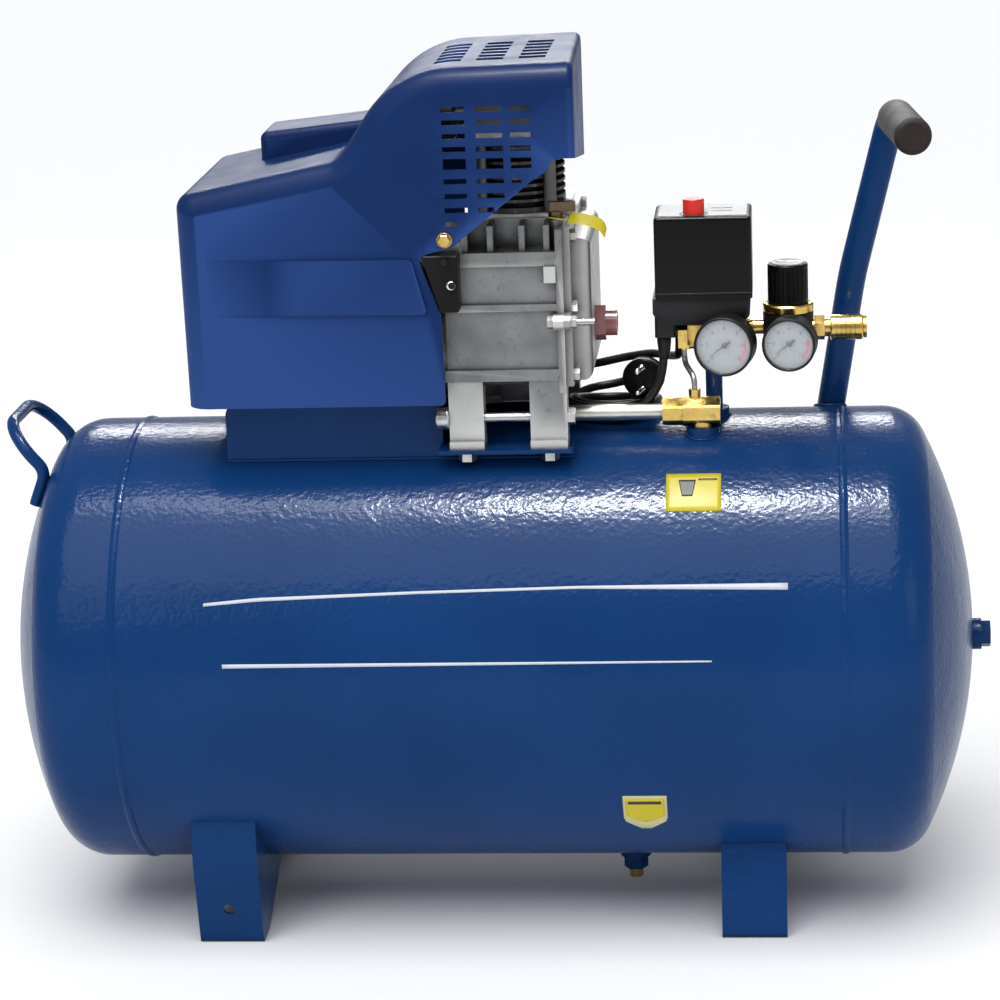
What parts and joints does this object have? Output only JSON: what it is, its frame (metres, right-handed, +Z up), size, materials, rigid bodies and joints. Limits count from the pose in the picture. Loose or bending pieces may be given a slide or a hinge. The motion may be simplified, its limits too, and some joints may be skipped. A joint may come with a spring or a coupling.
{
  "type": "air_compressor",
  "caption": "Direct-driven oil-lubricated piston air compressor on a horizontal blue tank, with pressure switch, regulator, gauges and a coiled mains lead.",
  "frame": {"origin": "on the floor, under the middle of the bounding box; the tank's axis runs along X and the controls stand at +X", "axes": "+X along the tank to the control end, -Y to the front, +Z up"},
  "size_m": [0.8725, 0.4028, 0.7689],
  "materials": {
    "tank_blue": "satin",
    "shroud_blue": "satin",
    "cast_alu": "satin",
    "machined_steel": "satin",
    "bright_zinc": "gloss",
    "brass_fittings": "gloss",
    "black_plastic": "satin",
    "gloss_black": "gloss",
    "red_plastic": "gloss",
    "ivory_tube": "satin",
    "black_rubber": "matte",
    "grey_paper": "matte",
    "copper_windings": "satin",
    "laminated_core": "matte",
    "dark_casting": "matte",
    "sight_plastic": "gloss"
  },
  "bodies": {
    "frame": {"tank_shell": "tank_blue", "tank_heads": "tank_blue", "tank_sockets": "tank_blue", "left_foot_bracket": "tank_blue", "right_foot_bracket": "tank_blue", "carry_handle": "tank_blue", "push_handle": "tank_blue", "handle_grip": "black_rubber", "mounting_rails": "tank_blue", "crankcase": "cast_alu", "crankcase_cover": "cast_alu", "sight_glass": "sight_plastic", "filler_plug": "black_plastic", "pump_bolts": "machined_steel", "cylinder": "dark_casting", "valve_plate": "machined_steel", "cylinder_head": "dark_casting", "head_bolts": "machined_steel", "intake_filter": "black_plastic", "bearings": "machined_steel", "stator_core": "laminated_core", "windings": "copper_windings", "motor_end_bracket": "cast_alu", "through_bolts": "machined_steel", "capacitor": "black_plastic", "shroud": "shroud_blue", "air_guide": "black_plastic", "discharge_tube": "ivory_tube", "brass_nuts": "brass_fittings", "check_valve_body": "brass_fittings", "unloader_tube": "cast_alu", "support_pipe": "tank_blue", "manifold": "brass_fittings", "safety_valve": "brass_fittings", "switch_base": "black_plastic", "switch_cover": "gloss_black", "gauge_cases": "black_plastic", "gauge_dials": "grey_paper", "regulator_body": "black_plastic", "coupler_body": "brass_fittings", "drain_body": "tank_blue", "motor_lead": "black_rubber", "mains_lead_tube": "black_rubber", "mains_lead_coil": "black_rubber", "mains_plug": "gloss_black"},
    "crank": {"crankshaft": "machined_steel", "rotor": "laminated_core", "cooling_fan": "black_plastic"},
    "piston_assembly": {"piston": "cast_alu", "piston_rings": "machined_steel", "wrist_pin": "machined_steel"},
    "rod": {"connecting_rod": "cast_alu"},
    "start_knob": {"switch_knob": "red_plastic"},
    "regulator_dial": {"regulator_knob": "gloss_black"},
    "tank_needle": {"tank_gauge_needle": "red_plastic"},
    "outlet_needle": {"outlet_gauge_needle": "red_plastic"},
    "drain_valve": {"drain_screw": "brass_fittings"},
    "quick_sleeve": {"coupler_sleeve": "brass_fittings"},
    "relief_ring": {"safety_ring": "bright_zinc"},
    "return_valve": {"check_valve_poppet": "machined_steel"}
  },
  "joints": [
    {"name": "crank_spin", "type": "hinge", "parent": "frame", "child": "crank", "pos_m": [-0.00775, 0, 0.54], "axis": [1, 0, 0], "continuous": true},
    {"name": "piston_stroke", "type": "slide", "parent": "frame", "child": "piston_assembly", "axis": [0, 0, 1], "range_m": [0, 0.044]},
    {"name": "rod_swing", "type": "hinge", "parent": "piston_assembly", "child": "rod", "pos_m": [0.02725, 0, 0.628], "axis": [1, 0, 0], "range_deg": [-11.5, 11.5]},
    {"name": "switch_knob_pull", "type": "slide", "parent": "frame", "child": "start_knob", "axis": [0, 0, 1], "range_m": [0, 0.007]},
    {"name": "regulator_knob_turn", "type": "hinge", "parent": "frame", "child": "regulator_dial", "pos_m": [0.26025, -0.01, 0.55], "axis": [0, 0, 1], "range_deg": [-720, 720]},
    {"name": "tank_needle_turn", "type": "hinge", "parent": "frame", "child": "tank_needle", "pos_m": [0.20529, -0.0694, 0.517], "axis": [-0.1908, -0.9816, 0], "range_deg": [0, 270]},
    {"name": "outlet_needle_turn", "type": "hinge", "parent": "frame", "child": "outlet_needle", "pos_m": [0.26086, -0.06936, 0.5175], "axis": [-0.1392, -0.9903, 0], "range_deg": [0, 270]},
    {"name": "drain_screw_turn", "type": "hinge", "parent": "frame", "child": "drain_valve", "pos_m": [0.11425, -0.008, 0.016], "axis": [0, 0, 1], "range_deg": [-360, 0]},
    {"name": "coupler_sleeve_slide", "type": "slide", "parent": "frame", "child": "quick_sleeve", "axis": [-1, 0, 0], "range_m": [0, 0.004], "stiffness_N_per_m": 400},
    {"name": "relief_ring_pull", "type": "slide", "parent": "frame", "child": "relief_ring", "axis": [0, 1, 0], "range_m": [0, 0.003], "stiffness_N_per_m": 500},
    {"name": "return_valve_lift", "type": "slide", "parent": "frame", "child": "return_valve", "axis": [1, 0, 0], "range_m": [0, 0.003], "stiffness_N_per_m": 50}
  ]
}
